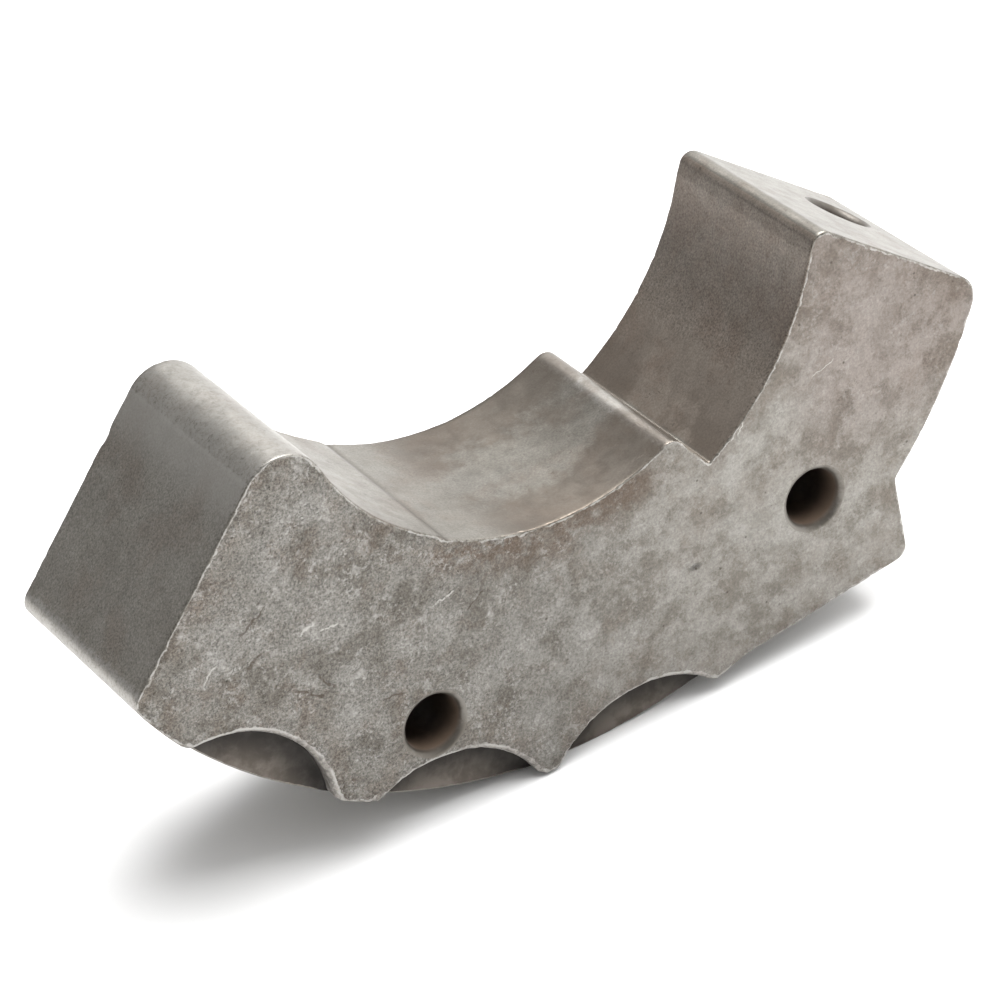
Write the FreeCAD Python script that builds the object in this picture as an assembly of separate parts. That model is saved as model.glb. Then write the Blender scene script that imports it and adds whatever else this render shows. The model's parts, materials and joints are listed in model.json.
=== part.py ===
import FreeCAD, Part
import math
import os

# Bending shoe of a conduit bender: one solid block of steel, cut from plate.
# A round outer rocker, a two-step concave seat for the conduit and a short
# driving lug share one centre line, the seat axis, which runs along Y.
# X is the length, Y the thickness (the pocketed side faces -Y), Z is up.
# The block stands on its rocker the way it balances by itself.
# Millimetres and degrees throughout.

# Plate and the three concentric radii about the seat axis
THICKNESS = 25.4
SMALL_SEAT_RADIUS = 28.7
LARGE_SEAT_RADIUS = 35.0
ROCKER_RADIUS = 58.8

# Straight faces, each set by its slope above +X and its distance from the seat axis
END_FACE_SLOPE = 57.6
END_FACE_DISTANCE = 19.9
TOP_FACE_SLOPE = -28.1
TOP_FACE_DISTANCE = 14.3

# Step between the two seats: where it meets the large seat, and its slope
STEP_ANGLE = 39.7
STEP_SLOPE = -44.0

# Flat that eases the upper end of the large seat
SEAT_EASE_ANGLE = 80.6
SEAT_EASE_SLOPE = 75.0

# Driving lug under the right arm
LUG_TIP_RADIUS = 66.8
LUG_TIP_ANGLE = 47.4
LUG_LOWER_SLOPE = 17.1
LUG_SIDE_SLOPE = 102.4

# Corner roundings, and the light edge break along the rims of both flat sides
HEEL_ROUND = 2.0
LEFT_TIP_ROUND = 4.8
RIDGE_ROUND = 1.8
NOTCH_ROUND = 0.4
SEAT_TIP_ROUND = 1.5
TOP_CORNER_ROUND = 3.0
LUG_TIP_ROUND = 1.6
LUG_ROOT_ROUND = 1.0
EDGE_BREAK = 0.2

# Round-ended pockets milled into the -Y side, open through the rocker
POCKET_RADIUS = 13.7
POCKET_CIRCLE_RADIUS = 67.1
POCKET_DEPTH = 2.25
POCKET_ANGLES = (-33.4, -8.3, 13.8)

# Three drilled holes of one size: two cross the thickness, the third runs from
# the top face of the right arm down into the right cross hole
HOLE_RADIUS = 3.3
HOLE_CHAMFER = 0.6
RIGHT_HOLE_CIRCLE_RADIUS = 50.3
RIGHT_HOLE_ANGLE = 46.1
LEFT_HOLE_CIRCLE_RADIUS = 49.8
LEFT_HOLE_ANGLE = -13.3
TOP_HOLE_FROM_POCKET_SIDE = 15.8

# Size of the tools that trim the blank, larger than the blank itself
TRIM_REACH = 150.0

# How closely an edge must lie on a key point or a level to be taken as standing there
MATCH_GAP = 0.02

SEAT_AXIS = FreeCAD.Vector(0, 0, 0)
ACROSS = FreeCAD.Vector(0, 1, 0)


def seat_polar(radius, angle):
    """Point at a radius from the seat axis; the angle is from straight down, + toward the lug."""
    turn = math.radians(angle)
    return FreeCAD.Vector(radius * math.sin(turn), 0, -radius * math.cos(turn))


def slope_vector(slope):
    turn = math.radians(slope)
    return FreeCAD.Vector(math.cos(turn), 0, math.sin(turn))


def left_normal(slope):
    """Unit vector a quarter turn to the left of a line with this slope."""
    return slope_vector(slope + 90.0)


def cross_cylinder(radius, centre, start, length):
    """Cylinder along +Y whose axis passes through the centre point."""
    base = FreeCAD.Vector(centre.x, start, centre.z)
    return Part.makeCylinder(radius, length, base, ACROSS)


def prism(points):
    """Straight prism through the whole thickness over a closed outline in XZ."""
    outline = Part.makePolygon(points + points[:1])
    return Part.Face(outline).extrude(ACROSS * THICKNESS)


def half_space(point, slope):
    """Large prism lying to the left of a line through the point with this slope."""
    along = slope_vector(slope) * TRIM_REACH
    across = left_normal(slope) * TRIM_REACH
    return prism([point - along, point + along, point + along + across, point - along + across])


def crossing(point_a, slope_a, point_b, slope_b):
    """Crossing point of two lines in XZ."""
    direction_a = slope_vector(slope_a)
    normal_b = left_normal(slope_b)
    reach = (point_b - point_a).dot(normal_b) / direction_a.dot(normal_b)
    return point_a + direction_a * reach


def line_circle(point, slope, radius, side):
    """Crossing of a line with a circle about the seat axis; side +1 is further along the line."""
    direction = slope_vector(slope)
    foot = point - direction * point.dot(direction)
    reach = math.sqrt(radius ** 2 - foot.Length ** 2)
    return foot + direction * (side * reach)


def corner_edges(shape, corner):
    """The straight thickness-wise edge that stands on this corner of the outline."""
    found = []
    for edge in shape.Edges:
        ends = [vertex.Point for vertex in edge.Vertexes]
        gaps = [math.hypot(end.x - corner.x, end.z - corner.z) for end in ends]
        if len(ends) == 2 and max(gaps) < MATCH_GAP:
            found.append(edge)
    if not found:
        raise ValueError("no edge stands on the corner at %s" % corner)
    return found


def mouth_cone(mouth, inward):
    """45 degree easing at the mouth of a drilled hole, started a little above the surface."""
    height = 2 * HOLE_CHAMFER
    start = mouth - inward * HOLE_CHAMFER
    return Part.makeCone(HOLE_RADIUS + height, HOLE_RADIUS, height, start, inward)


def rim_edges(shape, level):
    """Every edge of the outline that lies in the flat side at this Y."""
    found = []
    for edge in shape.Edges:
        box = edge.BoundBox
        if max(abs(box.YMin - level), abs(box.YMax - level)) < MATCH_GAP:
            found.append(edge)
    return found


# Key points of the outline
end_face_point = left_normal(END_FACE_SLOPE) * END_FACE_DISTANCE
top_face_point = left_normal(TOP_FACE_SLOPE) * TOP_FACE_DISTANCE
notch = seat_polar(LARGE_SEAT_RADIUS, STEP_ANGLE)
ease_start = seat_polar(LARGE_SEAT_RADIUS, SEAT_EASE_ANGLE)
lug_tip = seat_polar(LUG_TIP_RADIUS, LUG_TIP_ANGLE)

left_tip = line_circle(end_face_point, END_FACE_SLOPE, SMALL_SEAT_RADIUS, -1)
heel = line_circle(end_face_point, END_FACE_SLOPE, ROCKER_RADIUS, -1)
ridge = line_circle(notch, STEP_SLOPE, SMALL_SEAT_RADIUS, 1)
seat_tip = crossing(ease_start, SEAT_EASE_SLOPE, top_face_point, TOP_FACE_SLOPE)
top_corner = line_circle(top_face_point, TOP_FACE_SLOPE, ROCKER_RADIUS, 1)
lug_root = line_circle(lug_tip, LUG_SIDE_SLOPE, ROCKER_RADIUS, -1)
lug_start = line_circle(lug_tip, LUG_LOWER_SLOPE, ROCKER_RADIUS, 1)

# Blank: rocker disc with the driving lug
body = cross_cylinder(ROCKER_RADIUS, SEAT_AXIS, 0, THICKNESS)
lug = prism([lug_start, lug_tip, lug_root, seat_polar(LARGE_SEAT_RADIUS, LUG_TIP_ANGLE)])
body = body.fuse(lug)

# Two concave seats, the large one only on the far side of the step
body = body.cut(cross_cylinder(SMALL_SEAT_RADIUS, SEAT_AXIS, 0, THICKNESS))
large_seat = cross_cylinder(LARGE_SEAT_RADIUS, SEAT_AXIS, 0, THICKNESS)
body = body.cut(large_seat.common(half_space(notch, STEP_SLOPE)))

# End face, top face and the easing flat at the upper end of the large seat
body = body.cut(half_space(end_face_point, END_FACE_SLOPE))
body = body.cut(half_space(top_face_point, TOP_FACE_SLOPE))
ease_end = ease_start + slope_vector(SEAT_EASE_SLOPE) * LARGE_SEAT_RADIUS
body = body.cut(prism([ease_start, ease_end, SEAT_AXIS]))
body = body.removeSplitter().Solids[0]

# Corners of the outline, rounded through the whole thickness
corner_rounds = (
    (heel, HEEL_ROUND),
    (left_tip, LEFT_TIP_ROUND),
    (ridge, RIDGE_ROUND),
    (notch, NOTCH_ROUND),
    (seat_tip, SEAT_TIP_ROUND),
    (top_corner, TOP_CORNER_ROUND),
    (lug_tip, LUG_TIP_ROUND),
    (lug_root, LUG_ROOT_ROUND),
)
for corner, radius in corner_rounds:
    body = body.makeFillet(radius, corner_edges(body, corner))

# Pockets in the -Y side
for angle in POCKET_ANGLES:
    centre = seat_polar(POCKET_CIRCLE_RADIUS, angle)
    body = body.cut(cross_cylinder(POCKET_RADIUS, centre, 0, POCKET_DEPTH))

# Light edge break all round both flat sides
for level in (0, THICKNESS):
    body = body.makeChamfer(EDGE_BREAK, rim_edges(body, level))

# Cross holes, each eased at both mouths
right_hole = seat_polar(RIGHT_HOLE_CIRCLE_RADIUS, RIGHT_HOLE_ANGLE)
left_hole = seat_polar(LEFT_HOLE_CIRCLE_RADIUS, LEFT_HOLE_ANGLE)
for centre in (right_hole, left_hole):
    body = body.cut(cross_cylinder(HOLE_RADIUS, centre, 0, THICKNESS))
    body = body.cut(mouth_cone(centre, ACROSS))
    body = body.cut(mouth_cone(centre + ACROSS * THICKNESS, ACROSS * -1))

# Top hole, square to the top face and aimed at the axis of the right cross hole
top_normal = left_normal(TOP_FACE_SLOPE)
top_hole_depth = TOP_FACE_DISTANCE - right_hole.dot(top_normal)
top_mouth = right_hole + top_normal * top_hole_depth
top_mouth.y = TOP_HOLE_FROM_POCKET_SIDE
body = body.cut(Part.makeCylinder(HOLE_RADIUS, top_hole_depth, top_mouth, top_normal * -1))
body = body.cut(mouth_cone(top_mouth, top_normal * -1))
body = body.Solids[0]

# Roll the block on its rocker until its weight hangs straight below the seat axis
balance = math.degrees(math.atan2(body.CenterOfMass.x, -body.CenterOfMass.z))
body.rotate(SEAT_AXIS, ACROSS, balance)

# Origin under the middle of the block, at the level it stands on
box = body.BoundBox
body.translate(FreeCAD.Vector(-box.Center.x, -box.Center.y, -box.ZMin))

os.makedirs("parts", exist_ok=True)
body.exportStep("parts/shoe_body.step")
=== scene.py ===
import json
import math
import random

import bmesh
import bpy
import numpy as np
from mathutils import Matrix, Vector, noise
from mathutils.geometry import delaunay_2d_cdt
from mathutils.kdtree import KDTree


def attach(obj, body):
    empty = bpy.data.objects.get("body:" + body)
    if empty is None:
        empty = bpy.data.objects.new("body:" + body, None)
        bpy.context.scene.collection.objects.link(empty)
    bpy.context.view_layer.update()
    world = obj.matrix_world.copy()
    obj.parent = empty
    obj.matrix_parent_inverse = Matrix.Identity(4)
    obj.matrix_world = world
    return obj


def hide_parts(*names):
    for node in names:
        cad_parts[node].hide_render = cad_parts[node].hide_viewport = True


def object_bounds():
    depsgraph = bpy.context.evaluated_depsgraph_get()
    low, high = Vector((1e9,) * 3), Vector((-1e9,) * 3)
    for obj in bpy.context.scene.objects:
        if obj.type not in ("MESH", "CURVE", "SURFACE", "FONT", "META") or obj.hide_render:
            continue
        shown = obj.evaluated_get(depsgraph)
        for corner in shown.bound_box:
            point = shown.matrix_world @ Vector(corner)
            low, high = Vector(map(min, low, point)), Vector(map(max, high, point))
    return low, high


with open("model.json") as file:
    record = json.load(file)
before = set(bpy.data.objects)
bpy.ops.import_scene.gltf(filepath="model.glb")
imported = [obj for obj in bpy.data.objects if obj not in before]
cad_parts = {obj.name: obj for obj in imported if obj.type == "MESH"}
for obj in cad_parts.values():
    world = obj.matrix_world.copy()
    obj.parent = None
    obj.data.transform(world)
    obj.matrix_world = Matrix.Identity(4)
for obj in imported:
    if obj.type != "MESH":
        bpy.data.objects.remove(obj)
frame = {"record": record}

cad_low, cad_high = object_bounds()
mounts = {m["name"]: m for m in frame["record"]["mounts"]}
MM = 0.001

# ---- the block's own sizes, mm and degrees
THICKNESS = (cad_high.y - cad_low.y) / MM
SMALL_SEAT, LARGE_SEAT, ROCKER = 28.7, 35.0, 58.8
END_SLOPE, END_DISTANCE = 57.6, 19.9
TOP_SLOPE, TOP_DISTANCE = -28.1, 14.3
STEP_ANGLE, STEP_SLOPE = 39.7, -44.0
EASE_ANGLE, EASE_SLOPE = 80.6, 75.0
LUG_RADIUS, LUG_ANGLE, LUG_LOWER, LUG_SIDE = 66.8, 47.4, 17.1, 102.4
HEEL_R, LEFT_TIP_R, RIDGE_R, NOTCH_R = 2.0, 4.8, 1.8, 0.4
SEAT_TIP_R, TOP_CORNER_R, LUG_TIP_R, LUG_ROOT_R = 1.5, 3.0, 1.6, 1.0
POCKET_R, POCKET_CIRCLE, POCKET_DEPTH, CUSP_R = 13.7, 67.1, 2.25, 1.2
POCKET_ANGLES = (-33.4, -8.3, 13.8)
HOLE_R, HOLE_EASING = 3.3, 0.6
RIGHT_HOLE, LEFT_HOLE = (50.3, 46.1), (49.8, -13.3)

# Rough places of the corners, in degrees about the seat axis: each picks one crossing out of two
POCKET_HALF = 10.0
LUG_START, LUG_ROOT, TOP_CORNER, SEAT_TIP = 28.0, LUG_ANGLE + 5, 104.0, 90.0
RIDGE, LEFT_TIP, HEEL = 32.0, -76.0, -52.0

# The seat axis and the turn of the outline come from the record's mounts
seat = mounts["small_seat"]
AXIS = np.array([seat["pos_m"][i] / MM + seat["axis"][i] * SMALL_SEAT for i in (0, 2)])
end_normal = mounts["end_face"]["axis"]
TURN = END_SLOPE - math.degrees(math.atan2(-end_normal[0], end_normal[2]))


# ---- outline in XZ about the seat axis
def polar(radius, angle):
    """Point about the seat axis; the angle is from straight down in the outline, + toward the lug."""
    a = math.radians(angle - TURN)
    return np.array([radius * math.sin(a), -radius * math.cos(a)])


def along(slope):
    """Unit vector of this slope in the outline."""
    a = math.radians(slope - TURN)
    return np.array([math.cos(a), math.sin(a)])


def left_of(d):
    return np.array([-d[1], d[0]])


def line(slope, point):
    return {"d": along(slope), "p": np.array(point, float)}


def arc(radius, turn, centre=(0.0, 0.0)):
    """Circle followed counter-clockwise (turn +1) or clockwise (-1); the metal is on the left."""
    return {"c": np.array(centre, float), "r": radius, "t": turn}


def shifted(e, t):
    """The line or arc moved by t toward the metal."""
    if "d" in e:
        return {"d": e["d"], "p": e["p"] + left_of(e["d"]) * t}
    return {"c": e["c"], "r": e["r"] - e["t"] * t, "t": e["t"]}


def meets(a, b):
    """Crossing points of two lines or arcs."""
    if "d" in a and "d" in b:
        n = left_of(b["d"])
        return [a["p"] + a["d"] * ((b["p"] - a["p"]) @ n) / (a["d"] @ n)]
    if "d" in b:
        a, b = b, a
    if "d" in a:
        foot = a["p"] + a["d"] * ((b["c"] - a["p"]) @ a["d"])
        reach = math.sqrt(b["r"] ** 2 - (foot - b["c"]) @ (foot - b["c"]))
        return [foot + a["d"] * reach, foot - a["d"] * reach]
    gap = b["c"] - a["c"]
    g = np.linalg.norm(gap)
    u = gap / g
    h = (a["r"] ** 2 - b["r"] ** 2 + g * g) / (2 * g)
    w = math.sqrt(a["r"] ** 2 - h * h)
    return [a["c"] + u * h + left_of(u) * w, a["c"] + u * h - left_of(u) * w]


def nearest(points, target):
    return min(points, key=lambda q: np.linalg.norm(q - target))


def heading(e, p):
    """Direction of travel at a point."""
    if "d" in e:
        return e["d"]
    return left_of((p - e["c"]) / e["r"]) * e["t"]


def touch(e, c):
    """Point of the line or arc nearest to c."""
    if "d" in e:
        return e["p"] + e["d"] * ((c - e["p"]) @ e["d"])
    return e["c"] + (c - e["c"]) / np.linalg.norm(c - e["c"]) * e["r"]


def corner(a, b, hint, radius):
    """Where element a gives way to b: (leaves a at, arrives on b at, rounding arc or None)."""
    p = nearest(meets(a, b), hint)
    if not radius:
        return p, p, None
    ta, tb = heading(a, p), heading(b, p)
    side = 1 if ta[0] * tb[1] - ta[1] * tb[0] > 0 else -1
    c = nearest(meets(shifted(a, side * radius), shifted(b, side * radius)), p)
    return touch(a, c), touch(b, c), arc(radius, side, c)


def sample(e, a, b, step):
    """Points and outward normals from a up to but not including b."""
    if "d" in e:
        n = max(1, round(np.linalg.norm(b - a) / step))
        pts = [a + (b - a) * i / n for i in range(n)]
        return pts, [-left_of(e["d"])] * n
    va, vb = (a - e["c"]) / e["r"], (b - e["c"]) / e["r"]
    start = math.atan2(va[1], va[0])
    sweep = (math.atan2(vb[1], vb[0]) - start) * e["t"] % (2 * math.pi)
    n = max(1, round(sweep * e["r"] / step))
    out, normals = [], []
    for i in range(n):
        ang = start + e["t"] * sweep * i / n
        v = np.array([math.cos(ang), math.sin(ang)])
        out.append(e["c"] + v * e["r"])
        normals.append(v * e["t"])
    return out, normals


# Spacing of the points along the outline, and along its roundings
STEP, ROUND_STEP = 0.33, 0.16
rocker = arc(ROCKER, 1)
end_face = line(END_SLOPE + 180, left_of(along(END_SLOPE)) * END_DISTANCE)
top_face = line(TOP_SLOPE + 180, left_of(along(TOP_SLOPE)) * TOP_DISTANCE)
step_face = line(STEP_SLOPE + 180, polar(LARGE_SEAT, STEP_ANGLE))
ease_face = line(EASE_SLOPE + 180, polar(LARGE_SEAT, EASE_ANGLE))
lug_lower = line(LUG_LOWER, polar(LUG_RADIUS, LUG_ANGLE))
lug_side = line(LUG_SIDE, polar(LUG_RADIUS, LUG_ANGLE))
small_seat, large_seat = arc(SMALL_SEAT, -1), arc(LARGE_SEAT, -1)
pockets = [arc(POCKET_R, -1, polar(POCKET_CIRCLE, a)) for a in POCKET_ANGLES]

# (name, element, rough place of the corner at its end, rounding there)
route = [("rocker0", rocker, polar(ROCKER, POCKET_ANGLES[0] - POCKET_HALF), CUSP_R)]
for i, pocket in enumerate(pockets):
    route.append((f"pocket{i}", pocket, polar(ROCKER, POCKET_ANGLES[i] + POCKET_HALF), CUSP_R))
    if i < len(pockets) - 1:
        route.append((f"rocker{i + 1}", rocker, polar(ROCKER, POCKET_ANGLES[i + 1] - POCKET_HALF), CUSP_R))
route += [
    ("rocker3", rocker, polar(ROCKER, LUG_START), 0),
    ("lug_lower", lug_lower, polar(LUG_RADIUS, LUG_ANGLE), LUG_TIP_R),
    ("lug_side", lug_side, polar(ROCKER, LUG_ROOT), LUG_ROOT_R),
    ("rocker4", rocker, polar(ROCKER, TOP_CORNER), TOP_CORNER_R),
    ("top_face", top_face, polar(LARGE_SEAT, SEAT_TIP), SEAT_TIP_R),
    ("ease", ease_face, polar(LARGE_SEAT, EASE_ANGLE), 0),
    ("large_seat", large_seat, polar(LARGE_SEAT, STEP_ANGLE), NOTCH_R),
    ("step", step_face, polar(SMALL_SEAT, RIDGE), RIDGE_R),
    ("small_seat", small_seat, polar(SMALL_SEAT, LEFT_TIP), LEFT_TIP_R),
    ("end_face", end_face, polar(ROCKER, HEEL), HEEL_R),
]
corners = [corner(e, route[(i + 1) % len(route)][1], hint, radius)
           for i, (_, e, hint, radius) in enumerate(route)]

# The tool mark across the small seat: a fine groove, with the metal left of it standing a little proud
CREASE_ANGLE, CREASE_SPAN, CREASE_STEP = -20.0, 4.0, 0.12
GROOVE, GROOVE_HALF, PROUD, PROUD_REACH = 0.10, 0.5, 0.20, 3.0


def crease_height(p):
    """How far the small seat stands proud (+) or is cut (-) at a point of it, in mm."""
    u = (CREASE_ANGLE - TURN - math.degrees(math.atan2(p[0], -p[1]))) * math.pi / 180 * SMALL_SEAT
    h = -GROOVE * math.exp(-(u / GROOVE_HALF) ** 2)
    if u > 0:
        h += PROUD * u / PROUD_REACH * math.exp(1 - u / PROUD_REACH)
    return h


# Spans of the outline: each is (name, points, normals), with the rounding that follows it joined on
spans = []
for i, (name, e, hint, radius) in enumerate(route):
    begin, end = corners[i - 1][1], corners[i][0]
    if name == "small_seat":
        half = math.degrees(CREASE_SPAN / 2 / SMALL_SEAT)
        before, after = polar(SMALL_SEAT, CREASE_ANGLE + half), polar(SMALL_SEAT, CREASE_ANGLE - half)
        pts, nrm = [], []
        for a, b, step in ((begin, before, STEP), (before, after, CREASE_STEP), (after, end, STEP)):
            p2, n2 = sample(e, a, b, step)
            pts, nrm = pts + p2, nrm + n2
        pts = [p + n * crease_height(p) for p, n in zip(pts, nrm)]
    else:
        pts, nrm = sample(e, begin, end, STEP)
    spans.append([name, pts, nrm])
    if corners[i][2]:
        p2, n2 = sample(corners[i][2], corners[i][0], corners[i][1], ROUND_STEP)
        spans.append(["round_" + name, p2, n2])


# ---- worn rims: how far each rim is knocked back
HALF = THICKNESS / 2
NEAR, FAR, FLOOR = -HALF, HALF, -HALF + POCKET_DEPTH
NEAR_SIDE, FAR_SIDE = 1, 2
RIM, RIM_LEAST, RIM_MOST = 0.16, 0.07, 0.52
# The rim's unevenness: share of its width, and length in mm
FINE_WEAR, BROAD_WEAR = (0.45, 1.1), (0.35, 4.0)
# Pocket walls that face +X are rubbed wider, except near the left hole, where little metal is left
POCKET_WEAR, POCKET_WEAR_WAVE = 0.45, (0.25, 0.9)
THIN_MOST, THICKER_BY, THIN_REACH, THICK_REACH = 0.18, 0.8, 4.6, 7.5
CUSPS = ("round_rocker0", "round_rocker1", "round_rocker2")
rng = random.Random(7)


def wobble(seed, s, scale):
    """Seeded waviness along the outline, about -1 to 1."""
    return noise.noise(Vector((s / scale, seed * 7.31, seed * 1.7)))


def smooth(x, low, high):
    t = min(1.0, max(0.0, (x - low) / (high - low)))
    return t * t * (3 - 2 * t)


def rim_width(side, c, chips):
    """Rounding of the rim in mm at a column of the outline: uneven wear plus separate chips."""
    s, name = c["s"], c["name"]
    w = RIM * (1 + FINE_WEAR[0] * wobble(side, s, FINE_WEAR[1]) + BROAD_WEAR[0] * wobble(side + 5, s, BROAD_WEAR[1]))
    for at, width, depth in chips:
        w += depth * math.exp(-((s - at) / width) ** 4)
    most = RIM_MOST
    if (side == NEAR_SIDE and "pocket" in name) or name in CUSPS:
        share, length = POCKET_WEAR_WAVE
        w += POCKET_WEAR * smooth(-c["n"][0], -0.25, 0.6) * (1 + share * wobble(3, s, length))
        from_hole = np.linalg.norm(c["p"] - polar(*LEFT_HOLE))
        most = THIN_MOST + THICKER_BY * smooth(from_hole, THIN_REACH, THICK_REACH)
    return min(max(w, RIM_LEAST), most)


CDT_ALL_FACES, CDT_SNAP = 0, 1e-7


class Patchwork:
    """Collects patches of vertices and faces in mm; shared borders are welded at the end."""

    def __init__(self):
        self.v, self.f, self.m = [], [], []

    def grid(self, rows, material, closed=False, flip=False):
        rows = [[tuple(p) for p in r] for r in rows]
        base, n = len(self.v), len(rows[0])
        for r in rows:
            self.v.extend(r)
        for i in range(len(rows) - 1):
            for j in range(n if closed else n - 1):
                k = (j + 1) % n
                quad = (base + i * n + j, base + i * n + k, base + (i + 1) * n + k, base + (i + 1) * n + j)
                self.f.append(quad[::-1] if flip else quad)
                self.m.append(material)

    def sheet(self, loops, extra, place, material, flip=False):
        """Flat patch inside the first loop, outside the others, with extra points; place lifts 2D to 3D."""
        flat, edges = [], []
        for lp in loops:
            b = len(flat)
            flat += [tuple(p) for p in lp]
            edges += [(b + i, b + (i + 1) % len(lp)) for i in range(len(lp))]
        n = len(flat)
        flat += [tuple(p) for p in extra]
        co, _, faces, orig, _, _ = delaunay_2d_cdt(
            [Vector(p) for p in flat], edges, [], CDT_ALL_FACES, CDT_SNAP)
        base = len(self.v)
        for c, o in zip(co, orig):
            self.v.append(tuple(place(flat[o[0]] if o else c)))
        middle = np.array([[sum(co[i][k] for i in f) / 3 for k in (0, 1)] for f in faces])
        keep = inside(middle, np.array(loops[0]))
        for lp in loops[1:]:
            keep &= ~inside(middle, np.array(lp))
        for f, k in zip(faces, keep):
            if k:
                self.f.append(tuple(base + i for i in (f[::-1] if flip else f)))
                self.m.append(material)


def inside(points, loop):
    """Which of the points lie in the closed loop, by crossings."""
    a, b = loop, np.roll(loop, -1, axis=0)
    x, y = points[:, :1], points[:, 1:]
    crosses = ((a[:, 1] > y) != (b[:, 1] > y)) & (
        x < (b[:, 0] - a[:, 0]) * (y - a[:, 1]) / np.where(b[:, 1] == a[:, 1], 1e-12, b[:, 1] - a[:, 1]) + a[:, 0])
    return crosses.sum(1) % 2 == 1


CHUNK = 400


def clearance(points, curve):
    """Distance from each point to the nearest point of the curve, worked out in chunks to save memory."""
    best = np.zeros(len(points))
    for i in range(0, len(points), CHUNK):
        d = points[i:i + CHUNK, None, :] - curve[None]
        best[i:i + CHUNK] = np.sqrt((d ** 2).sum(2)).min(1)
    return best


ROW_PITCH, JITTER = 0.866, 0.15


def filler(loops, step, gap):
    """Staggered points inside the first loop and outside the rest, kept off every border."""
    outer = np.array(loops[0])
    lo, hi = outer.min(0), outer.max(0)
    pts = []
    for i, y in enumerate(np.arange(lo[1], hi[1], step * ROW_PITCH)):
        for x in np.arange(lo[0] + step * 0.5 * (i % 2), hi[0], step):
            pts.append((x + rng.uniform(-JITTER, JITTER) * step, y + rng.uniform(-JITTER, JITTER) * step))
    pts = np.array(pts)
    keep = inside(pts, outer)
    for hole in loops[1:]:
        keep &= ~inside(pts, np.array(hole))
    pts = pts[keep]
    pts = pts[clearance(pts, np.concatenate([np.array(lp) for lp in loops])) > gap]
    return [tuple(p) for p in pts]


PLATE, CUT, POCKET, BORE = range(4)
work = Patchwork()


def at(p, y):
    """A point of the outline (about the seat axis) lifted to this Y, in the object's own frame."""
    return (p[0] + AXIS[0], y, p[1] + AXIS[1])


# Columns of the outline with arc length, then the rim widths of both sides
columns = []
s_now = 0.0
for name, pts, nrm in spans:
    for p, n in zip(pts, nrm):
        if columns:
            s_now += float(np.linalg.norm(p - columns[-1]["p"]))
        columns.append({"name": name, "p": p, "n": np.array(n), "s": s_now})
first = {}
for i, c in enumerate(columns):
    first.setdefault(c["name"], i)
# At a corner with no rounding the column takes the normal between its two neighbours
for name in ("lug_lower", "ease", "large_seat"):
    i = first[name]
    if not columns[i - 1]["name"].startswith("round"):
        m = columns[i]["n"] + columns[i - 1]["n"]
        columns[i]["n"] = m / np.linalg.norm(m)
LENGTH = s_now + float(np.linalg.norm(columns[0]["p"] - columns[-1]["p"]))

# Small chips of the rims: how many on each side, then the range of their half length and depth
NEAR_CHIPS, FAR_CHIPS, CHIP_HALF, CHIP_DEPTH = 110, 60, (0.14, 0.42), (0.04, 0.20)
near_chips, far_chips = [], []
for chips, count in ((near_chips, NEAR_CHIPS), (far_chips, FAR_CHIPS)):
    for _ in range(count):
        chips.append((rng.uniform(0, LENGTH), rng.uniform(*CHIP_HALF), rng.uniform(*CHIP_DEPTH)))
# The nick in the far rim of the end face
NICK, NICK_HALF, NICK_DEPTH = np.array([-39.37, 45.87]) - AXIS, 0.9, 0.36
far_chips.append((min(columns, key=lambda c: np.linalg.norm(c["p"] - NICK))["s"], NICK_HALF, NICK_DEPTH))

QUARTER = [math.radians(a) for a in (0, 22.5, 45, 67.5, 90)]


def rim_points(c, level, sign, width):
    """Quarter-round from the flat side (at level) to the wall, five points, sign +1 into the block along Y."""
    return [at(c["p"] - c["n"] * width * (1 - math.sin(a)), level + sign * width * (1 - math.cos(a)))
            for a in QUARTER]


for c in columns:
    c["near"] = rim_width(NEAR_SIDE, c, near_chips)
    c["far"] = rim_width(FAR_SIDE, c, far_chips)

# Y of the rows of points down a wall: a pocket's depth, the lip of its floor, and the rest
WALL_A = [-12.05, -11.7, -11.35, -11.0, -10.7, -10.58, -10.5, -10.45]
WALL_B = [-10.41, -10.35, -10.25]
WALL_C = list(np.linspace(-9.7, 12.05, 33))
# Rounding at the foot of a pocket's wall and along its floor's lip; both fade out beside the cusps
BASE_R, LIP_R, LIP_WAVE = 0.25, 0.2, 0.4
HOLD, RISE = 1.3, 1.3
# Spacing of the points that fill a flat patch, and their clearance from its borders
FLOOR_FILL, TOP_FILL, SIDE_FILL = (0.55, 0.35), (0.6, 0.4), (0.7, 0.45)


def full_column(c):
    """A column of points right across the thickness, from one flat side to the other."""
    return (rim_points(c, NEAR, 1, c["near"])
            + [at(c["p"], y) for y in WALL_A + WALL_B + WALL_C]
            + rim_points(c, FAR, -1, c["far"])[::-1])


def rows_of(cols):
    return [list(r) for r in zip(*cols)]


# Runs of columns of one kind, each with the first column of the next run added.
# A pocket's run is its arc with the cusp roundings before and after it.
runs = []
for i, c in enumerate(columns):
    kind = "full"
    if c["name"].startswith(("pocket", "round_pocket")) or c["name"] in CUSPS:
        kind = "pocket"
    if c["name"] == "top_face":
        kind = "top"
    if not runs or kind != runs[-1][0]:
        runs.append([kind, []])
    runs[-1][1].append(i)
for k, run in enumerate(runs):
    run[1].append(runs[(k + 1) % len(runs)][1][0])

near_loop, far_loop, mouths = [], [], []


def fade(s, begin, end):
    """0 by the cusps at both ends of a pocket, 1 between them."""
    return min(1.0, max(0.0, (min(s - begin, end - s) - HOLD) / RISE))


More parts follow.
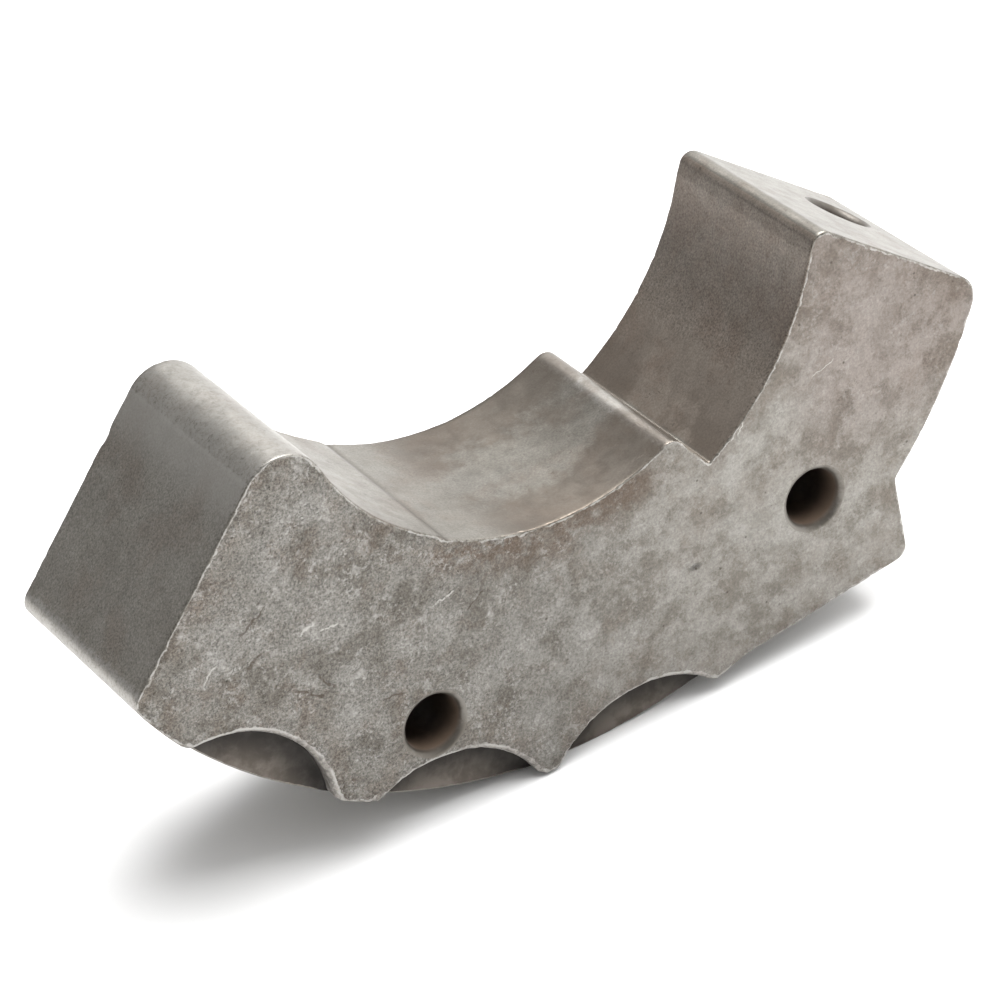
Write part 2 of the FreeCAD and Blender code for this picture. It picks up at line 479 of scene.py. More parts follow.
def pocket_wall(cols, begin, end):
    """Columns of a pocket's wall, from the flat side down to its floor."""
    wall = []
    for c in cols:
        column = rim_points(c, NEAR, 1, c["near"])
        for y in WALL_A:
            off = 0.0
            if y >= FLOOR - BASE_R:
                foot = BASE_R - math.sqrt(max(0.0, BASE_R ** 2 - (y - FLOOR + BASE_R) ** 2))
                off = foot * fade(c["s"], begin, end)
            column.append(at(c["p"] + c["n"] * off, y))
        wall.append(column)
    return wall


def below_pocket(cols, begin):
    """Columns of the rocker's own surface, from the lip of a pocket's floor to the far side."""
    last = cols[-1]["p"]
    pts, nrm = sample(rocker, cols[0]["p"], last, STEP)
    pts, nrm = pts + [last], nrm + [cols[-1]["n"]]
    outer = []
    run_length = 0.0
    for k, (p, n) in enumerate(zip(pts, nrm)):
        if k:
            run_length += float(np.linalg.norm(p - pts[k - 1]))
        outer.append({"p": p, "n": n, "s": begin + run_length, "name": "rocker"})
    below = []
    for c in outer:
        lip = LIP_R * fade(c["s"], begin, outer[-1]["s"]) * (1 + LIP_WAVE * wobble(9, c["s"], 1.0))
        column = []
        for y in [FLOOR] + WALL_B:
            rise = min(y - FLOOR, lip)
            off = lip - math.sqrt(max(0.0, lip ** 2 - (lip - rise) ** 2))
            column.append(at(c["p"] - c["n"] * off, y))
        column += [at(c["p"], y) for y in WALL_C]
        column += rim_points(c, FAR, -1, rim_width(FAR_SIDE, c, far_chips))[::-1]
        below.append(column)
    # the rims at both ends are those of the neighbouring columns
    for end in (0, -1):
        below[end][-len(QUARTER):] = rim_points(cols[end], FAR, -1, cols[end]["far"])[::-1]
    return below


# Rows of the top face that stay a grid along each side, outside the patch with the hole in it
TOP_BORDER = 7
for kind, idx in runs:
    cols = [columns[i] for i in idx]
    if kind == "pocket":
        begin, end = cols[0]["s"], cols[-1]["s"]
        wall = pocket_wall(cols, begin, end)
        work.grid(rows_of(wall), POCKET)
        near_loop += [col[0] for col in wall[:-1]]
        below = below_pocket(cols, begin)
        work.grid(rows_of(below), CUT)
        far_loop += [col[-1] for col in below[:-1]]
        # the floor, between the wall's foot and the lip
        inner_chain = [(col[-1][0], col[-1][2]) for col in wall]
        outer_chain = [(col[0][0], col[0][2]) for col in below]
        loop = outer_chain + inner_chain[-2:0:-1]
        work.sheet([loop], filler([loop], *FLOOR_FILL), lambda p: (p[0], FLOOR, p[1]), POCKET)
        continue
    full = [full_column(c) for c in cols]
    rows = rows_of(full)
    if kind == "full":
        work.grid(rows, CUT)
    else:
        a_row, b_row = TOP_BORDER, len(rows) - TOP_BORDER
        work.grid(rows[:a_row + 1], CUT)
        work.grid(rows[b_row:], CUT)
        top_cols, top_full = cols, full
    near_loop += [col[0] for col in full[:-1]]
    far_loop += [col[-1] for col in full[:-1]]

# ---- drilled holes
BORE_N = 72
# Rows of points down a bore, as shares of its length
BORE_ROWS = (0.04, 0.08, 0.13, 0.19, 0.26, 0.35, 0.45, 0.56, 0.68, 0.8, 0.9, 1.0)
TUBE_ROWS = (0.05, 0.12, 0.2, 0.3, 0.42, 0.55, 0.7, 0.85, 1.0)
MOUTH_WAVE, MOUTH_WAVES = 0.07, 2.5
# Rounded easing of a mouth as shares of its size: (left of it round the bore, depth below the surface)
MOUTH = ((1.12, 0.0), (1.0, 0.012), (0.86, 0.05), (0.72, 0.12), (0.58, 0.21), (0.44, 0.33), (0.31, 0.48),
         (0.20, 0.64), (0.11, 0.82), (0.04, 1.02), (0.0, 1.25))


def round_bore(k):
    """Angle of the k-th point round a bore."""
    return 2 * math.pi * k / BORE_N


def bore_rim(p, u, w, out, phase):
    """Mouth of a bore centred on p with axes u, w and outward direction out: rows from the flat side inwards."""
    rows = []
    for share, depth in MOUTH:
        row = []
        for k in range(BORE_N):
            t = round_bore(k)
            d = u * math.cos(t) + w * math.sin(t)
            spot = Vector((MOUTH_WAVES * math.cos(t), MOUTH_WAVES * math.sin(t), phase))
            size = HOLE_EASING * (1 + MOUTH_WAVE * noise.noise(spot))
            row.append(p + d * (HOLE_R + size * share) - out * size * depth)
        rows.append(row)
    return rows


def centre_of(spec):
    """Middle of a cross hole, halfway through the block."""
    q = polar(*spec)
    return np.array([q[0] + AXIS[0], 0.0, q[1] + AXIS[1]])


Y = np.array([0.0, 1.0, 0.0])
top_out = np.array([left_of(along(TOP_SLOPE))[0], 0.0, left_of(along(TOP_SLOPE))[1]])
top_side = np.array([along(TOP_SLOPE)[0], 0.0, along(TOP_SLOPE)[1]])
TOP_Y = mounts["top_hole"]["pos_m"][1] / MM
near_holes, far_holes = [], []
# Each cross hole is two bores that meet level with the top hole; the right one leaves room for it
for which, spec in enumerate((LEFT_HOLE, RIGHT_HOLE)):
    c0 = centre_of(spec)
    near_rows = bore_rim(c0 + Y * NEAR, top_out, top_side, -Y, 20 + which)
    far_rows = bore_rim(c0 + Y * FAR, top_out, top_side, Y, 30 + which)
    stop_near, stop_far = [], []
    for k in range(BORE_N):
        gap = HOLE_R * max(math.cos(round_bore(k)), 0.0) if which else 0.0
        if k in (BORE_N // 4, 3 * BORE_N // 4):
            gap = 0.0
        stop_near.append(TOP_Y - gap)
        stop_far.append(TOP_Y + gap)
    for rows, stops, flip in ((near_rows, stop_near, False), (far_rows, stop_far, True)):
        last = rows[-1]
        body = []
        for e in BORE_ROWS:
            body.append([np.array([q[0], q[1] + (stop - q[1]) * e, q[2]]) for q, stop in zip(last, stops)])
        work.grid(rows + body, BORE, closed=True, flip=flip)
    mouths += [near_rows[0], far_rows[0]]
    near_holes.append([(p[0], p[2]) for p in near_rows[0]])
    far_holes.append([(p[0], p[2]) for p in far_rows[0]])

# Top hole, meeting the right cross hole square on
right_c = centre_of(RIGHT_HOLE)
mouth = right_c + Y * TOP_Y + top_out * ((np.array([AXIS[0], 0, AXIS[1]]) - right_c) @ top_out + TOP_DISTANCE)
rim_rows = bore_rim(mouth, Y, top_side, top_out, 41)
mouths.append(rim_rows[0])
tube = []
for e in TUBE_ROWS:
    row = []
    for k in range(BORE_N):
        start = rim_rows[-1][k]
        fall = (start - right_c) @ top_out - HOLE_R * abs(math.cos(round_bore(k)))
        row.append(start - top_out * fall * e)
    tube.append(row)
work.grid(rim_rows + tube, BORE, closed=True, flip=True)

# Middle of the top face, round the mouth of its hole
go = np.array([top_cols[-1]["p"][0] - top_cols[0]["p"][0], 0, top_cols[-1]["p"][1] - top_cols[0]["p"][1]])
go /= np.linalg.norm(go)
top_start = np.array(at(top_cols[0]["p"], 0.0))


def flat_top(p):
    """A point of the top face in that face's own two coordinates."""
    p = np.array(p)
    return (float((p - top_start) @ go), float(p[1]))


ring = [flat_top(col[a_row]) for col in top_full]
ring += [flat_top(q) for q in top_full[-1][a_row + 1:b_row]]
ring += [flat_top(col[b_row]) for col in reversed(top_full)]
ring += [flat_top(q) for q in reversed(top_full[0][a_row + 1:b_row])]
hole = [flat_top(q) for q in rim_rows[0]]
work.sheet([ring, hole], filler([ring, hole], *TOP_FILL),
           lambda p: tuple(top_start + go * p[0] + Y * p[1]), CUT)

# The two flat sides, with knocks in each: (x, z, radius, depth). The ranges are those of the scattered ones.
knocks = {NEAR: [(13.2, 16.9, 0.6, 0.14), (-50.7, 31.3, 0.35, 0.10), (-51.1, 30.5, 0.3, 0.08)], FAR: []}
KNOCKS, KNOCK_X, KNOCK_Z = 34, (-52, 52), (1, 51)
KNOCK_RADIUS, KNOCK_DEPTH = (0.25, 0.6), (0.015, 0.06)
KNOCK_MARGIN = (1.8, 0.3)
# Points round a knock: rings at these multiples of its radius, and the radius that is cleared for them
KNOCK_RINGS, KNOCK_POINTS, KNOCK_CLEARED = (0.0, 0.4, 0.8, 1.2, 1.7), 14, 1.9
BORDER_GAP = 0.12
for y, loop3, holes in ((NEAR, near_loop, near_holes), (FAR, far_loop, far_holes)):
    border = np.array([(p[0], p[2]) for p in loop3])
    while len(knocks[y]) < KNOCKS:
        q = np.array([[rng.uniform(*KNOCK_X), rng.uniform(*KNOCK_Z)]])
        r = rng.uniform(*KNOCK_RADIUS)
        clear = clearance(q, np.concatenate([border] + [np.array(h) for h in holes]))[0]
        roomy = clear > r * KNOCK_MARGIN[0] + KNOCK_MARGIN[1]
        if inside(q, border)[0] and roomy and not any(inside(q, np.array(h))[0] for h in holes):
            knocks[y].append((q[0][0], q[0][1], r, rng.uniform(*KNOCK_DEPTH)))
for loop3, holes, y, flip in ((near_loop, near_holes, NEAR, False), (far_loop, far_holes, FAR, True)):
    loop2 = [(p[0], p[2]) for p in loop3]
    loops = [loop2] + holes
    pts = np.array(filler(loops, *SIDE_FILL))
    extra = []
    for x, z, r, depth in knocks[y]:
        pts = pts[np.hypot(pts[:, 0] - x, pts[:, 1] - z) > r * KNOCK_CLEARED]
        for ring in KNOCK_RINGS:
            n = KNOCK_POINTS if ring else 1
            for k in range(n):
                t = 2 * math.pi * (k + ring) / n
                extra.append((x + ring * r * math.cos(t), z + ring * r * math.sin(t)))
    extra = np.array(extra)
    every = np.concatenate([np.array(lp) for lp in loops])
    extra = extra[clearance(extra, every) > BORDER_GAP]
    extra = extra[inside(extra, np.array(loop2))]
    work.sheet(loops, [tuple(p) for p in pts] + [tuple(p) for p in extra],
               lambda p, y=y: (p[0], y, p[1]), PLATE, flip)


DENSE_STEP = 0.08


def dense(points):
    """Closely spaced points all along a closed loop."""
    out = []
    for i in range(len(points)):
        a, b = np.array(points[i]), np.array(points[(i + 1) % len(points)])
        n = max(1, int(np.linalg.norm(b - a) / DENSE_STEP))
        out += [a + (b - a) * k / n for k in range(n)]
    return out


def tree(points):
    """Search tree that gives the distance to the nearest of these points."""
    kd = KDTree(len(points))
    for i, p in enumerate(points):
        kd.insert(p, i)
    kd.balance()
    return kd


RUBBED_CORNERS = ("round_small_seat", "round_step", "round_end_face")
crease_column = min(columns, key=lambda c: np.linalg.norm(c["p"] - polar(SMALL_SEAT, CREASE_ANGLE)))
rim_tree = tree(dense(near_loop) + dense(far_loop))
mouth_tree = tree([p for ring in mouths for p in dense(ring)])
round_tree = tree([at(c["p"], 0.0) for c in columns if c["name"] in RUBBED_CORNERS])
crease_tree = tree([at(crease_column["p"], 0.0)])

mesh = bpy.data.meshes.new("shoe_steel")
mesh.from_pydata([tuple(float(x) * MM for x in v) for v in work.v], [], work.f)
mesh.polygons.foreach_set("material_index", work.m)
bm = bmesh.new()
bm.from_mesh(mesh)
WELD = 2e-6
bmesh.ops.remove_doubles(bm, verts=bm.verts, dist=WELD)
bmesh.ops.recalc_face_normals(bm, faces=bm.faces)

# Waviness of worn metal everywhere (depth and length), knocks in the flat sides, and the distances in mm
# that the finish depends on: to the rims, the mouths of the holes, the rubbed corners and the crease
WAVES = ((0.016, 5.0), (0.006, 1.4))
REACH = 6.0
ON_SIDE = 0.01
KNOCK_SQUASH, KNOCK_SPREAD = 1.25, 0.62
bm.normal_update()
rim_layer = bm.verts.layers.float.new("rim")
mouth_layer = bm.verts.layers.float.new("mouth")
round_layer = bm.verts.layers.float.new("rounding")
crease_layer = bm.verts.layers.float.new("crease")
moves = []
for v in bm.verts:
    p = v.co / MM
    v[rim_layer] = min(rim_tree.find(p)[2], REACH)
    v[mouth_layer] = min(mouth_tree.find(p)[2], REACH)
    v[round_layer] = min(round_tree.find((p.x, 0.0, p.z))[2], REACH)
    v[crease_layer] = min(crease_tree.find((p.x, 0.0, p.z))[2], REACH)
    h = sum(depth * noise.noise(p / size) for depth, size in WAVES)
    for y in (NEAR, FAR):
        if abs(p.y - y) < ON_SIDE:
            for x, z, r, depth in knocks[y]:
                gap = math.hypot(p.x - x, (p.z - z) * KNOCK_SQUASH)
                if gap < 2 * r:
                    h -= depth * math.exp(-(gap / (KNOCK_SPREAD * r)) ** 2)
    moves.append(v.normal * h * MM)
for v, move in zip(bm.verts, moves):
    v.co += move
bm.to_mesh(mesh)
bm.free()
for p in mesh.polygons:
    p.use_smooth = True

shoe = bpy.data.objects.new("shoe_steel", mesh)
bpy.context.scene.collection.objects.link(shoe)
weighted = shoe.modifiers.new("weighted", "WEIGHTED_NORMAL")
weighted.weight = 50
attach(shoe, "root")
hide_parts("shoe_body")

# ---- camera
CAM_AZIMUTH, CAM_ELEVATION, CAM_ROLL = -26.495, 32.394, -9.813
CAM_DISTANCE = 493.55 * MM
CAM_AIM = Vector((-1.555, 0.974, 25.881)) * MM
CAM_LENS, CAM_SENSOR, CAM_CLIP = 166.43, 36.0, 0.01


def camera():
    az, el, roll = (math.radians(v) for v in (CAM_AZIMUTH, CAM_ELEVATION, CAM_ROLL))
    back = Vector((math.sin(az) * math.cos(el), -math.cos(az) * math.cos(el), math.sin(el)))
    level = Vector((math.cos(az), math.sin(az), 0))
    up = back.cross(level)
    right = level * math.cos(roll) + up * math.sin(roll)
    up = back.cross(right)
    data = bpy.data.cameras.new("camera")
    data.lens = CAM_LENS
    data.sensor_width = CAM_SENSOR
    data.clip_start = CAM_CLIP
    cam = bpy.data.objects.new("camera", data)
    cam.matrix_world = Matrix.Translation(CAM_AIM + back * CAM_DISTANCE) @ Matrix(
        (right, up, back)).transposed().to_4x4()
    bpy.context.scene.collection.objects.link(cam)
    bpy.context.scene.camera = cam


camera()

# ---- light
def area(name, pos, aim, size, power):
    """A rectangular soft light at a position, turned to aim at a point, in metres and watts."""
    data = bpy.data.lights.new(name, "AREA")
    data.shape = "RECTANGLE"
    data.size, data.size_y = size
    data.energy = power
    ob = bpy.data.objects.new(name, data)
    ob.location = pos
    ob.rotation_euler = (Vector(aim) - Vector(pos)).to_track_quat("-Z", "Y").to_euler()
    bpy.context.scene.collection.objects.link(ob)
    return ob


# The sheen light is only mirrored in the metal. The other three light the floor and the metal softly, and
# aren't mirrored.
area("sheen", (0.30, 0.20, 0.78), (0, 0, 0.02), (0.5, 0.5), 10.0).visible_diffuse = False
for ob in (area("back", (0.30, 0.36, 0.50), (0.24, 0.28, 0.0), (0.3, 0.3), 2.0),
           area("key", (0.14, -0.04, 0.70), (0.0, 0.0, 0.0), (0.75, 0.75), 9.0),
           area("fill", (0.25, -0.50, 0.80), (0.05, -0.1, 0.0), (0.9, 0.9), 3.2)):
    ob.visible_glossy = False

# Sky: dim toward -X, brighter toward +X. Each row is two values of X and the strengths there; the rows add up.
SKY = ((-0.60, 0.30, 0.50, 0.60), (0.38, 0.68, 0.0, 1.05))
world = bpy.data.worlds.new("world")
world.use_nodes = True
wn, wl = world.node_tree.nodes, world.node_tree.links
wcoord = wn.new("ShaderNodeTexCoord")
wsep = wn.new("ShaderNodeSeparateXYZ")
wl.new(wcoord.outputs["Generated"], wsep.inputs[0])
ramps = []
for low_x, high_x, from_, to in SKY:
    wmap = wn.new("ShaderNodeMapRange")
    wmap.interpolation_type = "SMOOTHSTEP"
    wl.new(wsep.outputs["X"], wmap.inputs["Value"])
    for key, value in (("From Min", low_x), ("From Max", high_x), ("To Min", from_), ("To Max", to)):
        wmap.inputs[key].default_value = value
    ramps.append(wmap.outputs["Result"])
wsum = wn.new("ShaderNodeMath")
for ramp, socket in zip(ramps, wsum.inputs):
    wl.new(ramp, socket)
wn["Background"].inputs["Color"].default_value = (1, 1, 1, 1)
wl.new(wsum.outputs[0], wn["Background"].inputs["Strength"])
bpy.context.scene.world = world

# ---- floor
GROUND_SIZE, GROUND_TONE, GROUND_ROUGHNESS = 3.0, (0.82, 0.82, 0.82, 1), 0.6
bm = bmesh.new()
bmesh.ops.create_grid(bm, x_segments=1, y_segments=1, size=GROUND_SIZE)
fmesh = bpy.data.meshes.new("floor")
bm.to_mesh(fmesh)
bm.free()
floor = bpy.data.objects.new("floor", fmesh)
bpy.context.scene.collection.objects.link(floor)
floor_mat = bpy.data.materials.new("floor")
floor_mat.use_nodes = True
bsdf = floor_mat.node_tree.nodes["Principled BSDF"]
bsdf.inputs["Base Color"].default_value = GROUND_TONE
bsdf.inputs["Roughness"].default_value = GROUND_ROUGHNESS
fmesh.materials.append(floor_mat)

# ---- worn steel
class Finish:
    """A procedural metal, built up as a colour, a roughness and a height."""

    def __init__(self, name):
        self.mat = bpy.data.materials.new(name)
        self.mat.use_nodes = True
        self.tree = self.mat.node_tree
        self.bsdf = self.tree.nodes["Principled BSDF"]
        self.place = self.tree.nodes.new("ShaderNodeTexCoord").outputs["Object"]

    def put(self, socket, value):
        """Links a socket, or sets it to a number or a colour."""
        if isinstance(value, bpy.types.NodeSocket):
            self.tree.links.new(value, socket)
        elif isinstance(value, tuple) and len(value) == 3 and socket.type == "RGBA":
            socket.default_value = (*value, 1)
        else:
            socket.default_value = value

    def noise(self, scale, detail=3.0, rough=0.55, warp=0.0, at=None):
        n = self.tree.nodes.new("ShaderNodeTexNoise")
        self.put(n.inputs["Vector"], at or self.place)
        for key, v in (("Scale", scale), ("Detail", detail), ("Roughness", rough), ("Distortion", warp)):
            n.inputs[key].default_value = v
        return n.outputs["Fac"]

    def cells(self, scale):
        """Voronoi cells: distance from each middle, and a colour of its own for each cell."""
        n = self.tree.nodes.new("ShaderNodeTexVoronoi")
        self.put(n.inputs["Vector"], self.place)
        n.inputs["Scale"].default_value = scale
        return n.outputs["Distance"], n.outputs["Color"]

    def moved(self, offset):
        n = self.tree.nodes.new("ShaderNodeMapping")
        self.put(n.inputs["Vector"], self.place)
        n.inputs["Location"].default_value = offset
        return n.outputs["Vector"]

    def attr(self, name):
        n = self.tree.nodes.new("ShaderNodeAttribute")
        n.attribute_name = name
        return n.outputs["Fac"]

    def split(self, socket):
        n = self.tree.nodes.new("ShaderNodeSeparateXYZ")
        self.put(n.inputs[0], socket)
        return n.outputs

    def math(self, op, a, b=0.0):
        n = self.tree.nodes.new("ShaderNodeMath")
        n.operation = op
        self.put(n.inputs[0], a)
        self.put(n.inputs[1], b)
        return n.outputs[0]

    def band(self, value, low, high, to_low=0.0, to_high=1.0):
        """Smooth step from to_low to to_high as value goes from low to high."""
        n = self.tree.nodes.new("ShaderNodeMapRange")
        n.interpolation_type = "SMOOTHSTEP"
        self.put(n.inputs["Value"], value)
        for key, v in (("From Min", low), ("From Max", high), ("To Min", to_low), ("To Max", to_high)):
            n.inputs[key].default_value = v
        return n.outputs["Result"]

    def mix(self, fac, a, b, blend="MIX"):
        n = self.tree.nodes.new("ShaderNodeMix")
        n.data_type = "RGBA"
        n.blend_type = blend
        self.put(n.inputs[0], fac)
        self.put(n.inputs[6], a)
        self.put(n.inputs[7], b)
        return n.outputs[2]

    def times(self, colour, value):
        """The colour made lighter or darker by a grey factor, or tinted by another colour."""
        return self.mix(1.0, colour, value, "MULTIPLY")

    def lay(self, colour, mask, share, tone):
        """The tone laid over the colour where the mask is, by this share at most."""
        return self.mix(self.math("MULTIPLY", mask, share), colour, tone)

    def patches(self, size, levels, offset=None, span=(0.0, 1.0)):
        """A mask from noise. size is its scale per metre, detail, roughness and warp; levels are the noise
        values at which the mask takes the two values in span."""
        at = self.moved(offset) if offset else None
        return self.band(self.noise(*size, at=at), *levels, *span)

    def swing(self, noise, amount):
        """Noise centred on 0 and scaled."""
        return self.math("MULTIPLY", self.math("SUBTRACT", noise, 0.5), amount)

    def both(self, *masks):
        """Where every one of the masks is."""
        out = masks[0]
        for m in masks[1:]:
            out = self.math("MULTIPLY", out, m)
        return out

    def spot(self, x, z, rx, rz, soft=1.0):
        """1 inside an ellipse in XZ (mm), fading to 0 at its border."""
        c = self.split(self.place)
        dx = self.math("MULTIPLY", self.math("SUBTRACT", c[0], x * MM), 1 / (rx * MM))
        dz = self.math("MULTIPLY", self.math("SUBTRACT", c[2], z * MM), 1 / (rz * MM))
        d = self.math("ADD", self.math("MULTIPLY", dx, dx), self.math("MULTIPLY", dz, dz))
        return self.band(d, 1.0, 1.0 - soft)

    def stroke(self, a, b, half, wander):
        """1 along a short scratch from a to b in XZ (mm), fading out at its sides and ends."""
        c = self.split(self.place)
        dx, dz = (b[0] - a[0]) * MM, (b[1] - a[1]) * MM
        size = math.hypot(dx, dz)
        x, z = self.math("SUBTRACT", c[0], a[0] * MM), self.math("SUBTRACT", c[2], a[1] * MM)
        u = self.math("ADD", self.math("MULTIPLY", x, dx / size), self.math("MULTIPLY", z, dz / size))
        v = self.math("ADD", self.math("MULTIPLY", x, -dz / size), self.math("MULTIPLY", z, dx / size))
        bent = self.math("ABSOLUTE", self.math("ADD", v, wander))
        return self.both(self.band(bent, half * MM, half * 0.4 * MM), self.band(u, 0.0, size * 0.15),
                         self.band(u, size, size * 0.8))

    def done(self, colour, roughness, height, metallic, relief):
        """Connects the results to the shader. The height is scaled to a relief in metres."""
        bump = self.tree.nodes.new("ShaderNodeBump")
        bump.inputs["Distance"].default_value = relief
        self.put(bump.inputs["Height"], height)
        self.put(self.bsdf.inputs["Normal"], bump.outputs["Normal"])
        self.put(self.bsdf.inputs["Base Color"], colour)
        self.put(self.bsdf.inputs["Roughness"], roughness)
        self.put(self.bsdf.inputs["Metallic"], metallic)
        return self.mat


# Tones of the steel, linear
BARE, BARE_POCKET, RUBBED = (0.50, 0.49, 0.465), (0.52, 0.51, 0.485), (0.50, 0.485, 0.46)
WARM_TINT, WARMER_TINT = (1.04, 0.965, 0.955), (1.05, 0.965, 0.93)

# Where a zone of the finish, or of painted shade, begins and where it is full, in metres
LIVELY_X, FINE_X, LEFT_SHADE_X = (0.022, -0.028), (0.005, -0.030), (-0.012, 0.018)
ARM_X, ARM_Z = (0.024, 0.034), (0.016, 0.030)
LARGE_SEAT_X, END_TOP_Z, TOP_HOLE_SHADE_Z = (0.014, 0.018), (0.034, 0.040), (0.028, 0.034)
SEAT_LEFT_X, SEAT_RIGHT_X = (-0.0115, -0.0060), (0.030, 0.020)
SEAT_MIDDLE_Y, SEAT_STEP_X = (0.0015, 0.0080), (-0.004, 0.014)


def worn_rim(f, width, ragged, share, tone, colour):
    """The colour with bare bright metal along every rim, ragged and broken. Widths in mm."""
    wander = f.patches((1500, 3, 0.6), (0.3, 0.7), span=(-ragged, ragged))
    wide = f.math("ADD", f.attr("rim"), wander)
    keep = f.patches((520, 2, 0.5), (0.36, 0.54), (3, 5, 1))
    return f.lay(colour, f.both(f.band(wide, width, width * 0.3), keep), share, tone)


# Short scratches in the flat sides: (from, to, half width), mm in XZ
DARK_STROKES = (((-35.2, 24.9), (-31.6, 22.2), 0.19), ((-32.4, 25.0), (-30.4, 22.6), 0.16),
                ((-25.6, 18.9), (-22.9, 18.3), 0.20), ((-40.2, 33.6), (-35.8, 35.9), 0.16),
                ((-40.0, 29.6), (-37.4, 30.6), 0.18), ((-14.5, 24.6), (-11.8, 26.4), 0.13))
PALE_STROKES = (((-33.6, 30.4), (-31.4, 31.6), 0.20), ((-31.2, 30.2), (-28.6, 30.0), 0.16),
                ((-45.0, 30.0), (-42.6, 31.8), 0.12), ((-18.4, 27.0), (-15.0, 27.6), 0.12),
                ((20.4, 30.0), (22.6, 33.4), 0.10), ((30.5, 33.0), (33.8, 34.2), 0.09))


def plate():
    """The two flat sides: fine pepper and pale flecks over soft grey and brown clouds."""
    f = Finish("steel_plate")
    x, _, z = f.split(f.place)
    lively = f.band(x, *LIVELY_X, 0.40, 1.0)
    cloud = f.patches((260, 10, 0.74), (0.42, 0.58))
    patch = f.patches((110, 8, 0.70, 0.3), (0.44, 0.60), (4, 1, 6))
    brown = f.patches((150, 8, 0.70, 0.2), (0.50, 0.64), (11, 4, 7))
    colour = f.mix(cloud, (0.158, 0.145, 0.126), (0.240, 0.228, 0.207))
    colour = f.lay(colour, patch, 0.50, (0.275, 0.265, 0.244))
    colour = f.lay(colour, brown, f.math("MULTIPLY", lively, 0.60), (0.150, 0.122, 0.099))
    # painted shade: darker toward -X and at the top of the right arm; the top of the arm is warmer as well
    left_shade = f.band(x, *LEFT_SHADE_X, 0.76, 1.05)
    arm = f.both(f.band(x, *ARM_X), f.band(z, *ARM_Z))
    colour = f.times(colour, f.math("MULTIPLY", left_shade, f.band(arm, 0.0, 1.0, 1.0, 0.86)))
    colour = f.mix(arm, colour, f.times(colour, WARM_TINT))
    # the floor of the first knock
    colour = f.lay(colour, f.spot(*knocks[NEAR][0][:2], 1.0, 0.55, 0.9), 0.65, (0.080, 0.075, 0.070))
    # brown stain along the rims, most of all under the small seat
    rim = f.attr("rim")
    stain = f.both(f.band(rim, 4.5, 0.4), f.patches((230, 7, 0.70, 0.2), (0.42, 0.60), (9, 9, 1)))
    colour = f.lay(colour, stain, 0.50, (0.140, 0.116, 0.095))
    under = f.both(f.band(rim, 5.8, 1.0), f.spot(-5.0, 29.0, 19.0, 7.0, 0.6),
                   f.patches((420, 7, 0.74, 0.2), (0.36, 0.54), (2, 7, 5)))
    colour = f.lay(colour, under, 0.85, (0.108, 0.083, 0.065))
    # pepper in two sizes, the finer one toward -X only
    grain = f.noise(3600, 4, 0.72)
    pepper = f.swing(grain, f.math("MULTIPLY", lively, 2.5))
    fine = f.swing(f.noise(6500, 2, 0.6), f.band(x, *FINE_X, 0.0, 1.3))
    colour = f.times(colour, f.math("ADD", f.math("ADD", pepper, fine), 1.0))
    # pale flecks and pale clouds, in the same open areas
    open_ = f.patches((300, 6, 0.7), (0.44, 0.60), (2, 9, 4))
    flecks = f.both(f.patches((2300, 5, 0.70, 0.3), (0.50, 0.66), (8, 8, 2)), open_, lively)
    colour = f.lay(colour, flecks, 0.55, (0.43, 0.42, 0.40))
    pale = f.both(f.patches((560, 8, 0.78, 0.5), (0.50, 0.62), (3, 2, 2)), open_)
    colour = f.lay(colour, pale, f.math("MULTIPLY", lively, 0.56), (0.36, 0.35, 0.33))
    # fine curly lines, where one level of a soft noise is crossed
    level = f.noise(1500, 1, 0.5, 1.2, f.moved((7, 1, 3)))
    curl = f.both(f.band(f.math("ABSOLUTE", f.math("SUBTRACT", level, 0.5)), 0.012, 0.003),
                  f.patches((380, 2, 0.5), (0.50, 0.60), (5, 5, 2)), lively)
    colour = f.lay(colour, curl, 0.35, (0.38, 0.37, 0.35))
    # dark specks in clumps, pits in some of the cells, and pits along the rims
    clump = f.patches((240, 5, 0.68), (0.44, 0.60), (6, 3, 8))
    speck = f.both(f.patches((3000, 3, 0.65), (0.43, 0.34), (1, 2, 9)), clump, f.band(lively, 0.5, 1.0, 0.6, 1.0))
    middle, cell = f.cells(600)
    pit = f.both(f.band(middle, 0.13, 0.05), f.band(f.split(cell)[0], 0.70, 0.75))
    near_rim = f.both(f.band(rim, 1.3, 0.15), f.patches((2400, 4, 0.7, 0.4), (0.48, 0.40), (2, 3, 3)), lively)
    dark = f.math("MAXIMUM", pit, f.math("MULTIPLY", near_rim, 0.8))
    dark = f.math("MAXIMUM", f.math("MULTIPLY", speck, 0.85), dark)
    colour = f.lay(colour, dark, 0.70, (0.062, 0.052, 0.043))
    # short scratches, bent and broken
    wander = f.patches((420, 3, 0.6), (0.3, 0.7), (8, 1, 5), (-0.0003, 0.0003))
    broken = f.patches((1800, 3, 0.6), (0.34, 0.48), (4, 1, 1))
    for strokes, share, tone in ((DARK_STROKES, 0.72, (0.066, 0.052, 0.042)),
                                 (PALE_STROKES, 0.65, (0.46, 0.45, 0.42))):
        for a, b, half in strokes:
            colour = f.lay(colour, f.both(f.stroke(a, b, half, wander), broken), share, tone)
    colour = worn_rim(f, 0.13, 0.10, 0.55, BARE, colour)
    rough = f.patches((700, 3, 0.6), (0.3, 0.7), (4, 8, 8), (0.37, 0.50))
    height = f.math("ADD", grain, f.math("MULTIPLY", cloud, 0.5))
    height = f.math("SUBTRACT", height, f.math("MULTIPLY", dark, 1.2))
    return f.done(colour, rough, height, 1.0, 0.00001)


